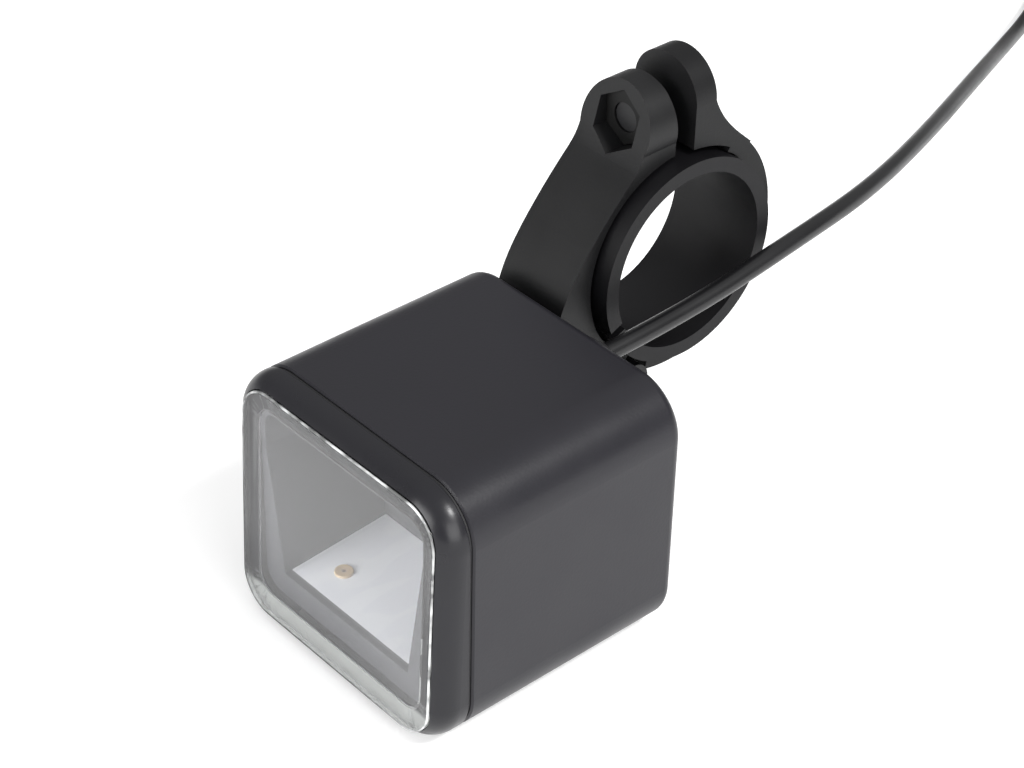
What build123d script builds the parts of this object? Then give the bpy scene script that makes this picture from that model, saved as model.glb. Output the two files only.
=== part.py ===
# E-bike headlight with a handlebar clamp bracket and its cable.
# The lamp rests on its underside, the way it was photographed: the front looks along -Y, up is +Z.
# The origin is the centre of the housing's underside. All lengths are in millimetres.
import os
from math import cos, pi, radians, sin, sqrt, tan

from build123d import *

os.makedirs("parts", exist_ok=True)

# Housing
housing_width = 41.0
housing_height = 37.5
housing_depth = 33.6
housing_wall = 2.2
corner_radius = 7.1
rear_edge_radius = 1.4
seam_chamfer = 0.25
ledge_width = 1.6
ledge_thickness = 1.5

# Front bezel and its seal
bezel_depth = 5.1
front_lean = 2.2
bezel_rim_side = 2.0
bezel_rim_top = 1.65
bezel_edge_radius = 3.6
bezel_spigot_length = 4.0
bezel_spigot_wall = 2.0
seam_seal_thickness = 0.35
seam_seal_inset = 0.4
fit_clearance = 0.1

# Lens and its gasket
lens_thickness = 2.0
lens_sunk = 0.15
lens_step = 0.4
lens_edge_radius = 0.45
lens_corner = 5.1
lens_boss_clearance = 0.3
gasket_thickness = 0.5

# Reflector
reflector_wall = 0.9
reflector_rear_gap = 4.25
reflector_lap = 0.3
reflector_bulge = 5.4
reflector_apron = 0.8

# Light board on its heat spreader
light_board_z = 8.0
light_board_thickness = 1.6
light_board_side_gap = 2.1
light_board_narrowing = 3.0
light_board_front_gap = 0.3
light_board_rear_gap = 3.2
light_board_corner = 0.6
light_board_clearance = 0.2
thermal_pad_thickness = 0.5
spreader_plate = 3.6
spreader_rim = 1.0
spreader_foot_width = 24.0
led_x = -7.6
led_setback = 4.7
led_diameter = 2.5
led_height = 0.35
led_core_diameter = 0.7
led_core_depth = 0.15
board_screw_diameter = 2.0
board_screw_length = 4.0
board_screw_spacing = 18.0
board_screw_edge = 2.2
small_head_diameter = 3.6
small_head_height = 1.0
small_head_slot = 0.5

# Driver board
driver_width = 20.0
driver_height = 22.0
driver_thickness = 1.6
driver_setback = 9.8
driver_lift = 0.75
driver_post_offset_x = 7.5
driver_post_offset_z = 8.0
driver_post_diameter = 4.6
driver_screw_diameter = 2.0
driver_screw_length = 5.5
inductor_diameter = 7.0
inductor_height = 4.2
inductor_flange = 0.9
capacitor_diameter = 6.3
capacitor_length = 5.4
chip_width = 5.0
chip_height = 4.0
chip_thickness = 1.6
lead_diameter = 1.0
lead_bend = 1.2

# Back cover
cover_thickness = 3.0
cover_clearance = 0.1
cover_gasket_thickness = 0.5
cover_post_diameter = 7.8
cover_post_length = 7.0
cover_screw_diameter = 2.5
cover_screw_length = 8.0
cover_screw_head = 4.6
cover_screw_edge_x = 3.8
cover_screw_edge_z = 3.75
screw_clearance = 0.05

# Tilt joint between the lamp and its bracket
bracket_side_inset = 10.6
foot_width = 8.0
lug_thickness = 3.4
lug_radius = 5.4
tilt_reach = 5.8
tilt_lift = 2.0
tilt_screw_diameter = 4.0
tilt_screw_length = 18.0
tilt_head_diameter = 7.0
tilt_head_height = 3.4
tilt_head_key = 3.0
tilt_nut_flats = 7.0
tilt_nut_height = 3.2
tilt_nut_sunk = 1.6
tilt_washer_thickness = 0.5
tilt_washer_diameter = 9.0
turning_clearance = 0.05

# Clamp bracket
bar_diameter = 25.4
bar_behind_tilt = 17.0
bar_over_tilt = 15.05
sleeve_wall = 2.1
sleeve_width = 15.6
sleeve_split = 1.2
sleeve_split_angle = 205.0
seat_clearance = 0.2
clamp_width = 13.4
skin_gap = 0.5
skin_thickness = 1.8
rib_width = 5.0
ring_skin_width = 10.4
arm_width = 12.0
arm_aside = 0.7
arm_skin = 1.4
arm_heel_y = 4.7
arm_heel_z = 7.25
arm_heel_slope = 0.12
arm_shin_y = 20.2
arm_shin_z = -0.8
arm_knee_y = 15.8
arm_knee_z = 6.5
arm_hip_y = 9.5
arm_hip_z = 13.6
arm_collar_z = 18.2
eye_radius = 5.2
ear_before_bar = 6.3
ear_thickness = 5.0
ear_slope = 0.28
ear_lobe_radius = 6.2
ear_lobe_drop = 0.8
ear_boss_height = 1.1
ear_boss_diameter = 8.6
ear_edge_radius = 0.6
nut_over_sleeve = 0.66

# Rear jaw, its hinge and the clamp screw
strap_width = 10.0
strap_thickness = 2.6
ear_gap = 2.4
rear_ear_thickness = 3.6
rear_ear_rise = 2.2
rear_ear_width = 11.5
rear_ear_aside = 0.5
jaw_relief = 0.7
hinge_behind_tilt = 9.0
hinge_under_tilt = 1.55
hinge_pin_diameter = 2.0
knuckle_radius = 2.6
knuckle_width = 4.0
knuckle_gap = 0.2
knuckle_recess = 1.4
clamp_screw_diameter = 4.0
clamp_head_diameter = 7.6
clamp_head_height = 2.2
clamp_head_key = 2.5
clamp_head_lift = 0.3
clamp_floor = 1.3
clamp_nut_flats = 7.0
clamp_nut_height = 3.2
clamp_screw_past_nut = 0.3
nut_clearance = 0.12
pocket_bottom = 0.2
pocket_chamfer = 0.3
counterbore_width = 8.4
counterbore_height = 10.4
jaw_slot_extra = 1.3

# Cable, its boot and its plug
cable_diameter = 2.6
cable_beside_sleeve = 4.6
cable_exit_drop = 5.6
cable_inside = 1.0
boot_collar_diameter = 6.0
boot_neck_diameter = 4.6
boot_collar_length = 2.0
boot_length = 3.4
boot_tip_diameter = 3.6
coil_turn_radius = 13.6
coil_half_step = 1.7
coil_half_turns_in = 4
coil_half_turns_out = 2
coil_layer_step = 3.3
tie_width = 4.0
tie_thickness = 0.4
tie_slack = 0.12
plug_diameter = 8.0
plug_length = 16.0
plug_collar_diameter = 9.4
plug_collar_length = 5.0
plug_boot_length = 8.0
plug_nose_diameter = 6.0
plug_nose_length = 6.0
plug_nose_wall = 0.8
plug_pin_diameter = 1.2
plug_pin_spacing = 2.6
plug_pin_length = 5.0
plug_ring_section = 1.0

# Places and radii that follow from the sizes above
seam_y = -housing_depth / 2
rear_y = housing_depth / 2
middle_z = housing_height / 2
inner_width = housing_width - 2 * housing_wall
inner_height = housing_height - 2 * housing_wall
inner_corner = corner_radius - housing_wall
bezel_front_y = seam_y - bezel_depth
lens_width = housing_width - 2 * bezel_rim_side
lens_height = housing_height - 2 * bezel_rim_top
lens_seat_depth = lens_sunk + lens_thickness + gasket_thickness
spigot_width = inner_width - 2 * fit_clearance
spigot_height = inner_height - 2 * fit_clearance
spigot_corner = inner_corner - fit_clearance
window_width = spigot_width - 2 * bezel_spigot_wall
window_height = spigot_height - 2 * bezel_spigot_wall
window_corner = spigot_corner - bezel_spigot_wall
window_foot = middle_z - window_height / 2
spigot_y = seam_y + bezel_spigot_length
light_board_rear_width = window_width - 2 * light_board_side_gap
light_board_front_width = light_board_rear_width - light_board_narrowing
lens_boss_depth = lens_sunk + lens_thickness + lens_step
lean_rise = window_height / 2 * tan(radians(front_lean))
reflector_front_y = bezel_front_y + lens_boss_depth + lean_rise + fit_clearance
apron_y = reflector_front_y + reflector_apron
driver_y = rear_y - driver_setback
light_board_front_y = apron_y + light_board_front_gap
light_board_rear_y = driver_y - light_board_rear_gap
led_y = light_board_front_y + led_setback
board_screw_y = light_board_rear_y - board_screw_edge
reflector_rear_y = light_board_rear_y - reflector_rear_gap
cover_y = rear_y - cover_thickness
ledge_y = cover_y - cover_gasket_thickness
cover_screw_spacing_x = inner_width - 2 * cover_screw_edge_x
cover_screw_spacing_z = inner_height - 2 * cover_screw_edge_z
driver_z = middle_z + driver_lift
light_board_under = light_board_z - light_board_thickness
driver_back_y = driver_y + driver_thickness
bracket_x = bracket_side_inset - housing_width / 2
arm_x = bracket_x - arm_aside
rear_ear_x = bracket_x + rear_ear_aside
tilt_y = rear_y + tilt_reach
tilt_z = middle_z + tilt_lift
bar_y = tilt_y + bar_behind_tilt
bar_z = tilt_z + bar_over_tilt
hinge_y = tilt_y + hinge_behind_tilt
hinge_z = tilt_z - hinge_under_tilt
ear_front_y = bar_y - ear_before_bar
bar_radius = bar_diameter / 2
sleeve_radius = bar_radius + sleeve_wall
seat_radius = sleeve_radius + seat_clearance
skin_inner_radius = sleeve_radius + skin_gap
skin_radius = skin_inner_radius + skin_thickness
strap_radius = seat_radius + strap_thickness
clamp_axis_z = bar_z + sleeve_radius + clamp_nut_flats / sqrt(3) + nut_over_sleeve
ear_back_y = ear_front_y + ear_thickness
rear_ear_y = ear_back_y + ear_gap
rear_ear_back_y = rear_ear_y + rear_ear_thickness
clamp_floor_y = rear_ear_y + clamp_floor
clamp_head_y = clamp_floor_y + clamp_head_lift
pocket_y = ear_back_y - pocket_bottom
clamp_nut_y = pocket_y - clamp_nut_height
clamp_tip_y = clamp_nut_y + clamp_screw_past_nut
cable_radius = cable_diameter / 2
cable_exit_x = bracket_x + sleeve_width / 2 + cable_beside_sleeve
cable_exit_z = housing_height - cable_exit_drop
cable_rest_z = cable_radius + tie_thickness + turning_clearance


def upright(y, z=middle_z):
    """Plane at the depth y that faces the front, with its own X to the right and its own Y up."""
    return Plane(origin=(0, y, z), x_dir=(1, 0, 0), z_dir=(0, -1, 0))


def leaning(depth):
    """Plane at a depth behind the lamp's face, which leans forward at its foot."""
    lean = radians(front_lean)
    face = Plane(origin=(0, bezel_front_y, middle_z), x_dir=(1, 0, 0), z_dir=(0, -cos(lean), sin(lean)))
    return face.offset(-depth)


def sideways(x):
    """Plane at x that faces +X, with its own X to the rear and its own Y up."""
    return Plane(origin=(x, 0, 0), x_dir=(0, 1, 0), z_dir=(1, 0, 0))


def level(z):
    """Plane at the height z that faces up."""
    return Plane.XY.offset(z)


def bar_point(radius, angle):
    """Point in a sideways sketch at an angle round the bar, counted from the rear upwards."""
    return (bar_y + radius * cos(radians(angle)), bar_z + radius * sin(radians(angle)))


def bar_wedge(start, end):
    """Corner points of a wide wedge round the bar between two angles."""
    count = 6
    angles = [start + (end - start) * i / count for i in range(count + 1)]
    return [(bar_y, bar_z)] + [bar_point(4 * bar_radius, angle) for angle in angles]


def save(part, name):
    """Labels a finished piece and writes it to its own file."""
    part.part.label = name
    export_step(part.part, "parts/" + name + ".step")
    print(name, "solids", len(part.part.solids()), "volume", round(part.part.volume, 1))


# Housing: rounded box, open at the front, with a ledge and screw posts inside its open rear
with BuildPart() as housing:
    with BuildSketch(upright(rear_y)):
        RectangleRounded(housing_width, housing_height, corner_radius)
    extrude(amount=housing_depth)
    fillet(housing.faces().sort_by(Axis.Y)[-1].outer_wire().edges(), rear_edge_radius)
    chamfer(housing.faces().sort_by(Axis.Y)[0].outer_wire().edges(), seam_chamfer)
    with BuildSketch(upright(rear_y)):
        RectangleRounded(inner_width, inner_height, inner_corner)
    extrude(amount=rear_y - ledge_y, mode=Mode.SUBTRACT)
    with BuildSketch(upright(ledge_y)):
        RectangleRounded(inner_width - 2 * ledge_width, inner_height - 2 * ledge_width, inner_corner - ledge_width)
    extrude(amount=ledge_thickness, mode=Mode.SUBTRACT)
    with BuildSketch(upright(ledge_y - ledge_thickness)):
        RectangleRounded(inner_width, inner_height, inner_corner)
    extrude(amount=ledge_y - ledge_thickness - seam_y, mode=Mode.SUBTRACT)
    with BuildSketch(upright(ledge_y)):
        with GridLocations(cover_screw_spacing_x, cover_screw_spacing_z, 2, 2):
            Circle(cover_post_diameter / 2)
    extrude(amount=cover_post_length)
    with BuildSketch(upright(ledge_y)):
        with GridLocations(cover_screw_spacing_x, cover_screw_spacing_z, 2, 2):
            Circle(cover_screw_diameter / 2 + screw_clearance)
    extrude(amount=cover_post_length, mode=Mode.SUBTRACT)
save(housing, "housing")

# Front bezel: the frame round the lens, with a spigot that enters the housing
with BuildPart() as front_bezel:
    with BuildSketch(upright(seam_y - seam_seal_thickness)):
        RectangleRounded(housing_width, housing_height, corner_radius)
    extrude(amount=2 * bezel_depth)
    with BuildSketch(leaning(0)):
        Rectangle(2 * housing_width, 2 * housing_height)
    extrude(amount=2 * bezel_depth, mode=Mode.SUBTRACT)
    fillet(front_bezel.faces().sort_by(Axis.Y)[0].outer_wire().edges(), bezel_edge_radius)
    chamfer(front_bezel.faces().sort_by(Axis.Y)[-1].outer_wire().edges(), seam_chamfer)
    with BuildSketch(upright(spigot_y)):
        RectangleRounded(spigot_width, spigot_height, spigot_corner)
    extrude(amount=bezel_spigot_length + seam_seal_thickness)
    with BuildSketch(leaning(lens_seat_depth)):
        RectangleRounded(lens_width + 2 * fit_clearance, lens_height + 2 * fit_clearance, lens_corner)
    extrude(amount=2 * lens_seat_depth, mode=Mode.SUBTRACT)
    with BuildSketch(upright(spigot_y)):
        RectangleRounded(window_width, window_height, window_corner)
    extrude(amount=bezel_spigot_length + bezel_depth, mode=Mode.SUBTRACT)
save(front_bezel, "front_bezel")

# Thin seal in the seam between the bezel and the housing
with BuildPart() as seam_seal:
    with BuildSketch(upright(seam_y)):
        RectangleRounded(
            housing_width - 2 * seam_seal_inset,
            housing_height - 2 * seam_seal_inset,
            corner_radius - seam_seal_inset,
        )
        RectangleRounded(inner_width, inner_height, inner_corner, mode=Mode.SUBTRACT)
    extrude(amount=seam_seal_thickness)
save(seam_seal, "seam_seal")

# Lens: clear slab that fills the bezel, with a stepped boss behind it
with BuildPart() as front_lens:
    with BuildSketch(leaning(lens_sunk + lens_thickness)):
        RectangleRounded(lens_width, lens_height, lens_corner)
    extrude(amount=lens_thickness)
    fillet(front_lens.faces().sort_by(Axis.Y)[0].outer_wire().edges(), lens_edge_radius)
    with BuildSketch(leaning(lens_boss_depth)):
        RectangleRounded(
            window_width - 2 * lens_boss_clearance,
            window_height - 2 * lens_boss_clearance,
            window_corner,
        )
    extrude(amount=lens_step)
save(front_lens, "front_lens")

# Gasket under the lens flange
with BuildPart() as lens_gasket:
    with BuildSketch(leaning(lens_seat_depth)):
        RectangleRounded(lens_width, lens_height, lens_corner)
        RectangleRounded(window_width, window_height, window_corner, mode=Mode.SUBTRACT)
    extrude(amount=gasket_thickness)
save(lens_gasket, "lens_gasket")


def scoop(wall):
    """Block behind the lens with an arched back, drawn in by a wall on every side but its foot."""
    top = middle_z + window_height / 2 - fit_clearance - wall
    rear = reflector_rear_y - wall
    drop = top - light_board_z
    run = rear - reflector_front_y
    reach = sqrt(drop**2 + run**2)
    crown_y = (rear + reflector_front_y) / 2 + reflector_bulge * drop / reach
    crown_z = (top + light_board_z) / 2 + reflector_bulge * run / reach
    with BuildPart() as shape:
        with BuildSketch(upright(reflector_front_y)):
            RectangleRounded(
                window_width - 2 * fit_clearance - 2 * wall,
                window_height - 2 * fit_clearance - 2 * wall,
                window_corner - wall,
            )
        extrude(amount=reflector_front_y - rear)
        with BuildSketch(sideways(0)):
            with BuildLine():
                ThreePointArc((reflector_front_y, top), (crown_y, crown_z), (rear, light_board_z))
                Polyline(
                    (rear, light_board_z),
                    (rear, 0),
                    (reflector_front_y, 0),
                    (reflector_front_y, top),
                )
            make_face()
        extrude(amount=window_width, both=True, mode=Mode.INTERSECT)
    return shape.part


def cheeks(y):
    """Section of the hollow at the depth y: as wide as the window at the top, as the board at the foot."""
    share = (y - light_board_front_y) / (light_board_rear_y - light_board_front_y)
    board_width = light_board_front_width + share * (light_board_rear_width - light_board_front_width)
    foot = board_width / 2 - reflector_lap
    brow = window_width / 2
    top = middle_z + window_height / 2
    return [(-foot, light_board_z), (foot, light_board_z), (brow, top), (-brow, top)]


outer_scoop = scoop(0)
inner_scoop = scoop(reflector_wall)
with BuildPart() as hollow:
    with BuildSketch(upright(reflector_front_y, 0)):
        Polygon(*cheeks(reflector_front_y), align=None)
    with BuildSketch(upright(reflector_rear_y, 0)):
        Polygon(*cheeks(reflector_rear_y), align=None)
    loft()
    add(inner_scoop, mode=Mode.INTERSECT)

# Reflector: an arched hood over the light board, with a low apron across its foot
with BuildPart() as reflector:
    add(outer_scoop)
    add(hollow.part, mode=Mode.SUBTRACT)
    with BuildSketch(upright(rear_y, 0)):
        Rectangle(housing_width, light_board_z, align=(Align.CENTER, Align.MIN))
    extrude(amount=rear_y - apron_y, mode=Mode.SUBTRACT)
save(reflector, "reflector")


def board_outline(extra):
    """Light board's outline, narrower at the front, grown by an extra on every side."""
    front = light_board_front_width / 2 + extra
    back = light_board_rear_width / 2 + extra
    start = light_board_front_y
    end = light_board_rear_y + extra
    return [(-front, start), (front, start), (back, end), (-back, end)]


# Heat spreader: a plate with a pocket for the light board, on a foot that stands on the housing floor
with BuildPart() as heat_spreader:
    with BuildSketch(upright(light_board_rear_y + spreader_rim)):
        RectangleRounded(window_width - 2 * fit_clearance, window_height - 2 * fit_clearance, window_corner)
        with Locations((0, light_board_z - middle_z)):
            Rectangle(window_width, spreader_plate, align=(Align.CENTER, Align.MAX), mode=Mode.INTERSECT)
    extrude(amount=light_board_rear_y + spreader_rim - apron_y)
    with BuildSketch(level(housing_wall)):
        with Locations((0, spigot_y + fit_clearance)):
            Rectangle(
                spreader_foot_width,
                light_board_rear_y + spreader_rim - spigot_y - fit_clearance,
                align=(Align.CENTER, Align.MIN),
            )
    extrude(amount=light_board_z - spreader_plate - housing_wall)
    with BuildSketch(level(light_board_under - thermal_pad_thickness)):
        Polygon(*board_outline(light_board_clearance), align=None)
    extrude(amount=light_board_thickness + thermal_pad_thickness, mode=Mode.SUBTRACT)
    with BuildSketch(level(light_board_z)):
        with Locations((0, board_screw_y)):
            with GridLocations(board_screw_spacing, 0, 2, 1):
                Circle(board_screw_diameter / 2 + screw_clearance)
    extrude(amount=-board_screw_length, mode=Mode.SUBTRACT)
save(heat_spreader, "heat_spreader")

# Thermal pad between the light board and the spreader
with BuildPart() as thermal_pad:
    with BuildSketch(level(light_board_under - thermal_pad_thickness)):
        Polygon(*board_outline(0), align=None)
        with Locations((0, board_screw_y)):
            with GridLocations(board_screw_spacing, 0, 2, 1):
                Circle(board_screw_diameter / 2 + screw_clearance, mode=Mode.SUBTRACT)
    extrude(amount=thermal_pad_thickness)
save(thermal_pad, "thermal_pad")

# Light board, white, facing up at the foot of the reflector
with BuildPart() as light_board:
    with BuildSketch(level(light_board_under)):
        Polygon(*board_outline(0), align=None)
        with Locations((0, board_screw_y)):
            with GridLocations(board_screw_spacing, 0, 2, 1):
                Circle(board_screw_diameter / 2 + screw_clearance, mode=Mode.SUBTRACT)
    extrude(amount=light_board_thickness)
    fillet(light_board.edges().filter_by(Axis.Z).group_by(Axis.Y)[0], light_board_corner)
save(light_board, "light_board")

# Light-emitting disc with a sunk core
with BuildPart() as light_emitter:
    with BuildSketch(level(light_board_z)):
        with Locations((led_x, led_y)):
            Circle(led_diameter / 2)
    extrude(amount=led_height)
    fillet(light_emitter.faces().sort_by(Axis.Z)[-1].edges(), led_height / 3)
    with BuildSketch(level(light_board_z + led_height)):
        with Locations((led_x, led_y)):
            Circle(led_core_diameter / 2)
    extrude(amount=-led_core_depth, mode=Mode.SUBTRACT)
save(light_emitter, "light_emitter")

# Two pan-head screws that hold the light board down
with BuildPart() as board_screws:
    with BuildSketch(level(light_board_z)):
        with Locations((0, board_screw_y)):
            with GridLocations(board_screw_spacing, 0, 2, 1):
                Circle(small_head_diameter / 2)
    extrude(amount=small_head_height)
    fillet(board_screws.faces().sort_by(Axis.Z)[-2:].edges(), small_head_height / 3)
    with BuildSketch(level(light_board_z)):
        with Locations((0, board_screw_y)):
            with GridLocations(board_screw_spacing, 0, 2, 1):
                Circle(board_screw_diameter / 2)
    extrude(amount=-board_screw_length)
    with BuildSketch(level(light_board_z + small_head_height)):
        with Locations((0, board_screw_y)):
            with GridLocations(board_screw_spacing, 0, 2, 1):
                Rectangle(small_head_diameter, small_head_slot)
                Rectangle(small_head_slot, small_head_diameter)
    extrude(amount=-small_head_height / 2, mode=Mode.SUBTRACT)
save(board_screws, "board_screws")

# Back cover with the lugs of the tilt joint, the cable hole and two posts for the driver board
lug_inner = foot_width / 2 + turning_clearance + tilt_washer_thickness
lug_outer = lug_inner + lug_thickness
lug_left = bracket_x - lug_outer
lug_right = bracket_x + lug_outer
driver_post_points = [
    (-driver_post_offset_x, driver_z - middle_z + driver_post_offset_z),
    (driver_post_offset_x, driver_z - middle_z - driver_post_offset_z),
]
with BuildPart() as back_cover:
    with BuildSketch(upright(rear_y)):
        RectangleRounded(
            inner_width - 2 * cover_clearance,
            inner_height - 2 * cover_clearance,
            inner_corner - cover_clearance,
        )
    extrude(amount=cover_thickness)
    with BuildSketch(upright(driver_back_y)):
        with Locations(*driver_post_points):
            Circle(driver_post_diameter / 2)
    extrude(amount=driver_back_y - cover_y)
    with BuildSketch(sideways(lug_left), sideways(bracket_x + lug_inner)):
        with Locations((tilt_y, tilt_z)):
            Circle(lug_radius)
        with Locations((rear_y, tilt_z)):
            Rectangle(tilt_y - rear_y, 2 * lug_radius, align=(Align.MIN, Align.CENTER))
    extrude(amount=lug_thickness)
    with BuildSketch(sideways(lug_right)):
        with Locations((tilt_y, tilt_z)):
            Circle(tilt_screw_diameter / 2 + turning_clearance)
    extrude(amount=-2 * lug_outer, mode=Mode.SUBTRACT)
    with BuildSketch(sideways(lug_left)):
        with Locations((tilt_y, tilt_z)):
            RegularPolygon(tilt_nut_flats / 2 + nut_clearance, 6, major_radius=False, rotation=30)
    extrude(amount=tilt_nut_sunk, mode=Mode.SUBTRACT)
    with BuildSketch(upright(rear_y)):
        with Locations((cable_exit_x, cable_exit_z - middle_z)):
            Circle(boot_neck_diameter / 2 + screw_clearance)
        with GridLocations(cover_screw_spacing_x, cover_screw_spacing_z, 2, 2):
            Circle(cover_screw_diameter / 2 + screw_clearance)
    extrude(amount=cover_thickness, mode=Mode.SUBTRACT)
    with BuildSketch(upright(rear_y)):
        with GridLocations(cover_screw_spacing_x, cover_screw_spacing_z, 2, 2):
            Circle(cover_screw_head / 2 + screw_clearance)
    extrude(
        amount=(cover_screw_head - cover_screw_diameter) / 2,
        taper=45,
        mode=Mode.SUBTRACT,
    )
    with BuildSketch(upright(driver_back_y)):
        with Locations(*driver_post_points):
            Circle(driver_screw_diameter / 2 + screw_clearance)
    extrude(amount=-(driver_screw_length - driver_thickness), mode=Mode.SUBTRACT)
save(back_cover, "back_cover")

# Gasket between the ledge and the back cover
with BuildPart() as back_gasket:
    with BuildSketch(upright(cover_y)):
        RectangleRounded(
            inner_width - 2 * cover_clearance,
            inner_height - 2 * cover_clearance,
            inner_corner - cover_clearance,
        )
        RectangleRounded(
            inner_width - 2 * ledge_width,
            inner_height - 2 * ledge_width,
            inner_corner - ledge_width,
            mode=Mode.SUBTRACT,
        )
        with GridLocations(cover_screw_spacing_x, cover_screw_spacing_z, 2, 2):
            Circle(cover_screw_diameter / 2 + screw_clearance, mode=Mode.SUBTRACT)
    extrude(amount=cover_gasket_thickness)
save(back_gasket, "back_gasket")

# Four countersunk screws of the back cover
with BuildPart() as cover_screws:
    with BuildSketch(upright(rear_y)):
        with GridLocations(cover_screw_spacing_x, cover_screw_spacing_z, 2, 2):
            Circle(cover_screw_head / 2)
    extrude(amount=(cover_screw_head - cover_screw_diameter) / 2, taper=45)
    with BuildSketch(upright(rear_y)):
        with GridLocations(cover_screw_spacing_x, cover_screw_spacing_z, 2, 2):
            Circle(cover_screw_diameter / 2)
    extrude(amount=cover_screw_length)
    with BuildSketch(upright(rear_y)):
        with GridLocations(cover_screw_spacing_x, cover_screw_spacing_z, 2, 2):
            Rectangle(cover_screw_head * 0.6, small_head_slot)
            Rectangle(small_head_slot, cover_screw_head * 0.6)
    extrude(amount=small_head_height * 0.6, mode=Mode.SUBTRACT)
save(cover_screws, "cover_screws")

# Driver board on the posts of the back cover
with BuildPart() as driver_board:
    with BuildSketch(upright(driver_back_y, driver_z)):
        Rectangle(driver_width, driver_height)
    extrude(amount=driver_thickness)
    with BuildSketch(upright(driver_back_y)):
        with Locations(*driver_post_points):
            Circle(driver_screw_diameter / 2 + screw_clearance)
    extrude(amount=driver_thickness, mode=Mode.SUBTRACT)
save(driver_board, "driver_board")

with BuildPart() as driver_screws:
    with BuildSketch(upright(driver_y)):
        with Locations(*driver_post_points):
            Circle(small_head_diameter / 2)
    extrude(amount=small_head_height)
    with BuildSketch(upright(driver_y)):
        with Locations(*driver_post_points):
            Circle(driver_screw_diameter / 2)
    extrude(amount=-driver_screw_length)
    with BuildSketch(upright(driver_y - small_head_height)):
        with Locations(*driver_post_points):
            Rectangle(small_head_diameter, small_head_slot)
            Rectangle(small_head_slot, small_head_diameter)
    extrude(amount=-small_head_height / 2, mode=Mode.SUBTRACT)
save(driver_screws, "driver_screws")

# Driver inductor: a spool with two flanges
inductor_x = driver_width / 2 - inductor_diameter / 2 - 0.8
inductor_z = driver_z + driver_height / 2 - inductor_diameter / 2 - 0.8
with BuildPart() as driver_inductor:
    with BuildSketch(upright(driver_y, inductor_z)):
        with Locations((inductor_x, 0)):
            Circle(inductor_diameter / 2)
    extrude(amount=inductor_flange)
    with BuildSketch(upright(driver_y - inductor_flange, inductor_z)):
        with Locations((inductor_x, 0)):
            Circle(inductor_diameter / 2 - 0.6)
    extrude(amount=inductor_height - 2 * inductor_flange)
    with BuildSketch(upright(driver_y - inductor_height + inductor_flange, inductor_z)):
        with Locations((inductor_x, 0)):
            Circle(inductor_diameter / 2)
    extrude(amount=inductor_flange)
save(driver_inductor, "driver_inductor")

# Driver capacitor: a small can with a crimped groove
capacitor_x = -driver_width / 2 + capacitor_diameter / 2 + 0.6
with BuildPart() as driver_capacitor:
    with BuildSketch(upright(driver_y, driver_z - 3.0)):
        with Locations((capacitor_x, 0)):
            Circle(capacitor_diameter / 2)
    extrude(amount=capacitor_length)
    with BuildSketch(upright(driver_y - 1.2, driver_z - 3.0)):
        with Locations((capacitor_x, 0)):
            Circle(capacitor_diameter / 2)
            Circle(capacitor_diameter / 2 - 0.25, mode=Mode.SUBTRACT)
    extrude(amount=0.5, mode=Mode.SUBTRACT)
save(driver_capacitor, "driver_capacitor")

with BuildPart() as driver_chip:
    with BuildSketch(upright(driver_y, driver_z)):
        with Locations((1.0, 0)):
            Rectangle(chip_width, chip_height)
    extrude(amount=chip_thickness)
    chamfer(driver_chip.faces().sort_by(Axis.Y)[0].edges(), 0.25)
save(driver_chip, "driver_chip")


def light_lead(x):
    """Lead from the driver board down to the rear edge of the light board."""
    start = (x, driver_y, light_board_z + 3.6)
    corner = (x, light_board_rear_y - 1.3, light_board_z + 3.6)
    end = (x, light_board_rear_y - 1.3, light_board_z)
    with BuildPart() as lead:
        with BuildLine() as path:
            FilletPolyline(start, corner, end, radius=lead_bend)
        with BuildSketch(Plane(origin=path.line @ 0, z_dir=path.line % 0)):
            Circle(lead_diameter / 2)
        sweep()
    return lead


def supply_lead(side):
    """Lead from the end of the cable to the back of the driver board."""
    x = cable_exit_x + side * lead_diameter * 0.6
    middle = (driver_back_y + cover_y - cable_inside) / 2
    foot = cable_exit_z - 5.0
    with BuildPart() as lead:
        with BuildLine() as path:
            FilletPolyline(
                (x, cover_y - cable_inside, cable_exit_z),
                (x, middle, cable_exit_z),
                (x, middle, foot),
                (x, driver_back_y, foot),
                radius=lead_bend,
            )
        with BuildSketch(Plane(origin=path.line @ 0, z_dir=path.line % 0)):
            Circle(lead_diameter / 2)
        sweep()
    return lead


light_lead_red = light_lead(-1.6)
save(light_lead_red, "light_lead_red")
light_lead_black = light_lead(1.6)
save(light_lead_black, "light_lead_black")
supply_lead_red = supply_lead(-1)
save(supply_lead_red, "supply_lead_red")
supply_lead_black = supply_lead(1)
save(supply_lead_black, "supply_lead_black")

# Tilt screw, its nut and the two friction washers
with BuildPart() as tilt_screw:
    with BuildSketch(sideways(lug_right)):
        with Locations((tilt_y, tilt_z)):
            Circle(tilt_head_diameter / 2)
    extrude(amount=tilt_head_height)
    fillet(tilt_screw.faces().sort_by(Axis.X)[-1].edges(), 0.4)
    with BuildSketch(sideways(lug_right)):
        with Locations((tilt_y, tilt_z)):
            Circle(tilt_screw_diameter / 2)
    extrude(amount=-tilt_screw_length)
    with BuildSketch(sideways(lug_right + tilt_head_height)):
        with Locations((tilt_y, tilt_z)):
            RegularPolygon(tilt_head_key / 2, 6, major_radius=False)
    extrude(amount=-tilt_head_height * 0.6, mode=Mode.SUBTRACT)
save(tilt_screw, "tilt_screw")

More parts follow.
